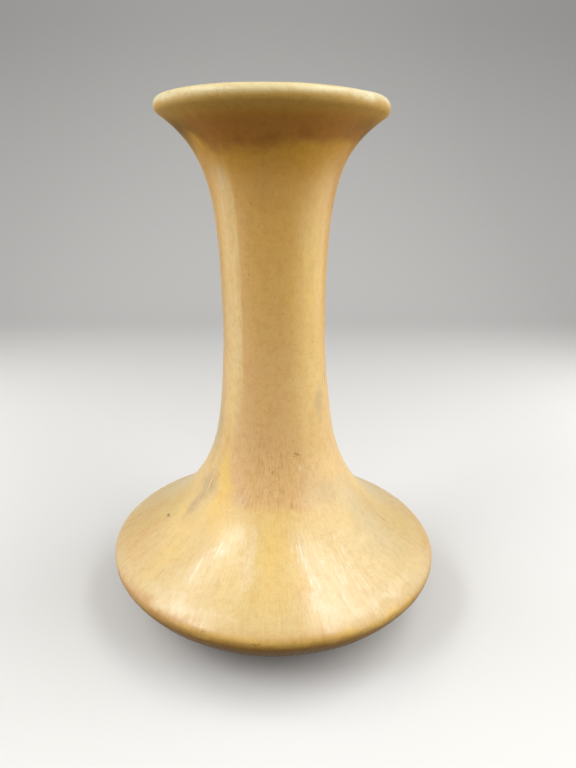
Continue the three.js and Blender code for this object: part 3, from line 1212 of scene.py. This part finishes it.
def stage():
    """A plain pale floor that sweeps up into a backdrop."""
    put_all_down()
    bpy.ops.mesh.primitive_plane_add(size=2 * STAGE_HALF, location=(0, STAGE_BACK - STAGE_HALF, 0))
    floor = bpy.context.object
    floor.name = "floor_and_backdrop"
    bpy.ops.object.transform_apply(location=True, rotation=True, scale=True)
    take_up(floor, "EDGE")
    pick_edges(floor, at_back)
    bpy.ops.mesh.extrude_region_move(TRANSFORM_OT_translate={"value": (0, 0, STAGE_RISE)})
    pick_edges(floor, lambda one, other: at_back(one, other) and max(one.z, other.z) < NEARLY)
    bpy.ops.mesh.bevel(offset=SWEEP, segments=SWEEP_STEPS)
    pick_up(floor)
    floor.data.materials.append(pale_paper("pale paper"))
    bpy.ops.object.shade_smooth()


def surroundings():
    """Even grey air all round, seen alike by every ray."""
    world = bpy.data.worlds.new("even air")
    bpy.context.scene.world = world
    world.use_nodes = True
    world.node_tree.nodes["Background"].inputs["Color"].default_value = (AIR, AIR, AIR, 1)


def soft_lamp(name, start, end, width, power):
    """A long soft lamp between two points, turned to the middle of the vase."""
    start, end, middle = Vector(start), Vector(end), Vector((0, 0, LAMPS_AIM_AT))
    light = bpy.data.lights.new(name, "AREA")
    light.shape = "RECTANGLE"
    light.size = width
    light.size_y = (end - start).length
    light.energy = power
    lamp = bpy.data.objects.new(name, light)
    lamp.location = (start + end) / 2
    along = (end - start).normalized()
    outward = lamp.location - middle
    outward = (outward - along * outward.dot(along)).normalized()
    lamp.rotation_euler = Matrix((along.cross(outward), along, outward)).transposed().to_euler()
    bpy.context.scene.collection.objects.link(lamp)


def camera():
    """The photograph's view: close, from a little below the rim, looking down."""
    lens = bpy.data.cameras.new("camera")
    lens.sensor_width = SENSOR
    lens.lens = FOCAL_PIXELS / FRAME_LONG_SIDE * SENSOR
    lens.shift_x = AXIS_OFFSET_PIXELS / FRAME_LONG_SIDE
    lens.clip_start = NEAREST_SEEN
    view = bpy.data.objects.new("camera", lens)
    view.location = (0, -CAMERA_BACK, CAMERA_HEIGHT)
    view.rotation_euler = (math.radians(90 - CAMERA_PITCH), 0, 0)
    bpy.context.scene.collection.objects.link(view)
    bpy.context.scene.camera = view


# Assembly

clay = bare_clay("bare buff clay", CLAY_BUFF, CLAY_DARK)
slip = bare_clay("fired slip", SLIP_TAN, CLAY_DARK)
made = (
    (foot_ring(), "foot_ring", "clay", clay),
    (lower_bowl(), "lower_bowl", "clay", clay),
    (belly_seam_slip(), "belly_seam_slip", "slip", slip),
    (shoulder(), "shoulder", "clay", clay),
    (neck_seam_slip(), "neck_seam_slip", "slip", slip),
    (neck_and_mouth(), "neck_and_mouth", "clay", clay),
    (outer_glaze(), "outer_glaze", "outer_glaze", satin_ochre("satin ochre glaze")),
    (inner_glaze(), "inner_glaze", "inner_glaze", inner_ochre("poured ochre glaze")),
)

# Marks in the outer coat: their places, their kind, and their width and depth
outer_coat = next(piece for piece, node, slot, material in made if node == "outer_glaze")
wipe_glaze_line(outer_coat)
for marks, kind, width, depth in (
    (NECK_PITS, "pit", 0.0008, 0.0002),
    (EDGE_SPECKS, "pit", 0.0008, 0.0001),
    (stray_pits(), "pit", 0.0006, 0.00015),
    (LIP_NICKS, "nick", 0.0008, 0.00015),
):
    prick(outer_coat, marks, kind, width, depth)
leave_uneven([piece for piece, node, slot, material in made if node != "foot_ring"])

for piece, node, slot, material in made:
    dress(piece, material)
    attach(piece, "root")
    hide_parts(node)

stage()
surroundings()
for lamp in LAMPS:
    soft_lamp(*lamp)
camera()
bpy.context.scene.view_settings.view_transform = "Standard"
